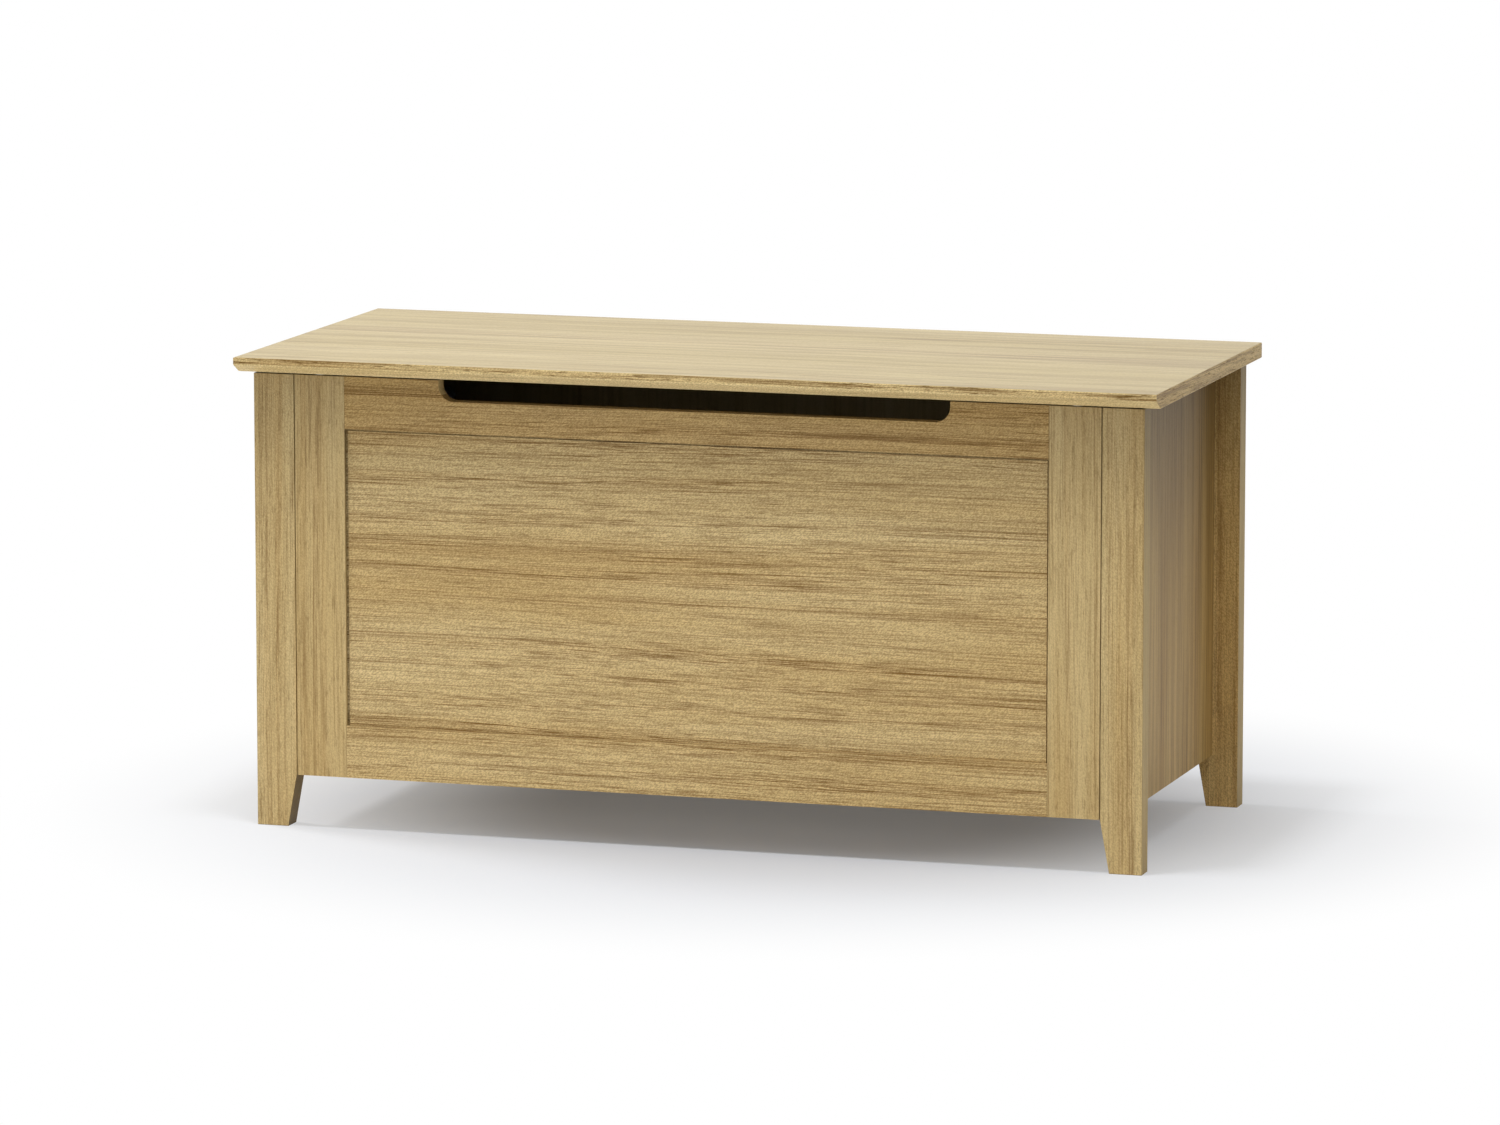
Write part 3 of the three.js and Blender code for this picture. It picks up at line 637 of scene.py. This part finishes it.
def raiseField(bm, nodeName, field):
    # The front face goes back by the groove's depth, and its middle comes forward again.
    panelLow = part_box(nodeName)[0]
    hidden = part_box("front_left_stile")[1].x - panelLow.x  # the edge that lies in the frame
    depth = field["depth"] * mm
    margin = hidden + field["quirk"] * mm
    face = min(bm.faces, key=lambda f: (round(f.calc_center_median().y, 6), -f.calc_area()))
    bmesh.ops.translate(bm, verts=face.verts, vec=(0, depth, 0))
    bmesh.ops.inset_region(bm, faces=[face], thickness=margin, use_even_offset=True)
    lower = [vert for vert in face.verts if vert.co.z < face.calc_center_median().z]
    bmesh.ops.translate(bm, verts=lower, vec=(0, 0, hidden / 2 - margin))  # no quirk at its foot
    risen = bmesh.ops.extrude_discrete_faces(bm, faces=[face])["faces"][0]
    bmesh.ops.translate(bm, verts=risen.verts, vec=(0, -depth, 0))


def makeBoard(nodeName, board):
    bm = mergedCopy(nodeName)
    if "field" in board:
        raiseField(bm, nodeName, board["field"])
    if board["ease"]:
        edges = sharpEdges(bm, easing["angle"], board.get("shortest", easing["shortest"]))
        bevelEdges(bm, edges, board["ease"], easing["segments"])
    materials = list(dict.fromkeys(board["finish"].values()))
    for face in bm.faces:
        face.normal_update()
        face.material_index = materials.index(faceFinish(face, board["finish"]))
    finishPiece(bm, nodeName, materials)


for nodeName, board in boards.items():
    makeBoard(nodeName, board)
print("boards made:", len(boards))


# Fittings: merged copies with small chamfers, smooth where they are round.
# The first of these words that is in a node's name says how it is finished.

chamfering = {"angle": 40, "shortest": 1, "segments": 1, "smoothUpTo": 32}
fittings = {
    "hinge": {"finish": brassedSteel, "slot": "hinge_steel", "chamfer": 0.15},
    "strut_cylinder": {"finish": blackPaint, "slot": "black_painted_steel", "chamfer": 0.3},
    "strut_rod": {"finish": rodSteel, "slot": "rod_steel", "chamfer": 0.2},
    "bumper": {"finish": whiteRubber, "slot": "bumper_rubber", "chamfer": 0.15},
    "bracket": {"finish": zincSteel, "slot": "zinc_steel", "chamfer": 0.2},
    "cam": {"finish": zincSteel, "slot": "zinc_steel", "chamfer": 0.3},
}


def makeFitting(nodeName):
    fitting = next(row for word, row in fittings.items() if word in nodeName)
    bm = mergedCopy(nodeName)
    edges = sharpEdges(bm, chamfering["angle"], chamfering["shortest"])
    bevelEdges(bm, edges, fitting["chamfer"], chamfering["segments"])
    piece = finishPiece(bm, nodeName, [fitting["finish"]])
    piece.data.shade_smooth()
    piece.data.set_sharp_from_angle(angle=math.radians(chamfering["smoothUpTo"]))


fittingNames = [name for name in frame["nodes"] if name not in boards]
for nodeName in fittingNames:
    makeFitting(nodeName)
print("fittings made:", len(fittingNames))


# Floor: matt pale card, cut from the roll, which turns to plain white in an oval round the chest.

floorLook = {
    "seenColour": "#cdd0d7",
    "litColour": "#f7f7f7",  # what it throws back on the chest
    "halfSize": 60000,
    "ovalCentre": (33, 48, 0),
    "ovalSquash": (0.9, 0.92, 1),
    "fadeStart": 190,
    "fadeEnd": 700,
    "leastWhite": 0.09,
}


def seenDirectly(tree):  # 1 for camera, mirror and glass rays, else 0
    seen = 0
    for ray in ("Is Camera Ray", "Is Glossy Ray", "Is Transmission Ray"):
        path = addNode(tree, "LightPath", output=ray)
        seen = addNode(tree, "Math", [seen, path], operation="MAXIMUM")
    return seen


def makeFloor():
    material, tree = newMaterial("paleFloorCard")
    place = addNode(tree, "TexCoord", output="Object")
    squash = floorLook["ovalSquash"]
    centre = [-middle * share * mm for middle, share in zip(floorLook["ovalCentre"], squash)]
    oval = addNode(tree, "Mapping", {"Vector": place, "Location": centre, "Scale": squash})
    fadeRange = {
        "Value": addNode(tree, "VectorMath", [oval], "Value", operation="LENGTH"),
        "From Min": floorLook["fadeStart"] * mm,
        "From Max": floorLook["fadeEnd"] * mm,
        "To Min": floorLook["leastWhite"],
    }
    fade = addNode(tree, "MapRange", fadeRange, interpolation_type="SMOOTHSTEP")
    seen = seenDirectly(tree)
    colours = {0: seen, 6: linearColour(floorLook["litColour"]), 7: linearColour(floorLook["seenColour"])}
    card = addNode(tree, "BsdfDiffuse", {"Color": addNode(tree, inputs=colours, **colourMix)})
    # Seen directly, the card is darker and cooler than the light it throws back. It glows white:
    # leastWhite of it even under the chest, as painted light that lifts the shadow there, and all of it
    # beyond the oval.
    white = addNode(tree, "Emission", {"Strength": 1})
    share = addNode(tree, "Math", [fade, seen], operation="MULTIPLY")
    surface = addNode(tree, "MixShader", [share, card, white])
    addNode(tree, "OutputMaterial", {"Surface": surface})
    bm = bmesh.new()
    bmesh.ops.create_grid(bm, x_segments=1, y_segments=1, size=floorLook["halfSize"] * mm)
    mesh = bpy.data.meshes.new("floor")
    bm.to_mesh(mesh)
    bm.free()
    mesh.materials.append(material)
    floor = bpy.data.objects.new("floor", mesh)
    bpy.context.scene.collection.objects.link(floor)


makeFloor()


# Light: an even sky, three small lamps above that give the soft shadow under the lid,
# and two large fills, from the front and the front left. Power is in watts.

studio = {
    "sky": 0.33,
    "lamps": {
        "overheadLamp": {
            "place": (0, -500, 2700),
            "aim": (0, -100, 300),
            "size": (350, 350),
            "power": 34,
        },
        "leftLamp": {
            "place": (-2200, 400, 2000),
            "aim": (0, 0, 300),
            "size": (600, 600),
            "power": 30,
        },
        "rightLamp": {
            "place": (1000, -150, 2600),
            "aim": (0, 0, 300),
            "size": (450, 450),
            "power": 6,
        },
        "frontFill": {
            "place": (300, -4500, 1000),
            "aim": (0, 0, 250),
            "size": (2500, 1500),
            "power": 35,
        },
        "leftFill": {
            "place": (-3000, -3800, 800),
            "aim": (0, 0, 250),
            "size": (2000, 1200),
            "power": 23,
        },
    },
}


def makeSky():  # plain white where it is seen, and dimmer where it lights
    world = bpy.data.worlds.new("studioSky")
    bpy.context.scene.world = world
    world.use_nodes = True
    tree = world.node_tree
    tree.nodes.clear()
    white = linearColour("#ffffff")
    lit = addNode(tree, "Background", {"Color": white, "Strength": studio["sky"]})
    seen = addNode(tree, "Background", {"Color": white, "Strength": 1})
    mix = addNode(tree, "MixShader", [seenDirectly(tree), lit, seen])
    addNode(tree, "OutputWorld", {"Surface": mix})


def makeLamp(name, lamp):
    data = bpy.data.lights.new(name, "AREA")
    data.shape = "RECTANGLE"
    data.size = lamp["size"][0] * mm
    data.size_y = lamp["size"][1] * mm
    data.energy = lamp["power"]
    item = bpy.data.objects.new(name, data)
    item.location = Vector(lamp["place"]) * mm
    aim = Vector(lamp["aim"]) * mm - item.location
    item.rotation_euler = aim.to_track_quat("-Z", "Y").to_euler()
    item.visible_camera = False
    bpy.context.scene.collection.objects.link(item)


makeSky()
for name, lamp in studio["lamps"].items():
    makeLamp(name, lamp)
print("floor and lights made")


# Camera: a long lens, a little above the chest and to its right.

cameraLook = {
    "place": (2320.7, -7425.8, 1440.9),
    "turn": (81.26, 0, 17.37),
    "lens": 197.8,
    "sensor": 36,
    "farthest": 200000,
}


def makeCamera():
    data = bpy.data.cameras.new("camera")
    data.lens = cameraLook["lens"]
    data.sensor_width = cameraLook["sensor"]
    data.sensor_fit = "HORIZONTAL"
    data.clip_end = cameraLook["farthest"] * mm
    item = bpy.data.objects.new("camera", data)
    item.location = Vector(cameraLook["place"]) * mm
    item.rotation_euler = [math.radians(angle) for angle in cameraLook["turn"]]
    bpy.context.scene.collection.objects.link(item)
    bpy.context.scene.camera = item


makeCamera()
bpy.context.scene.view_settings.view_transform = "Standard"
print("camera made")
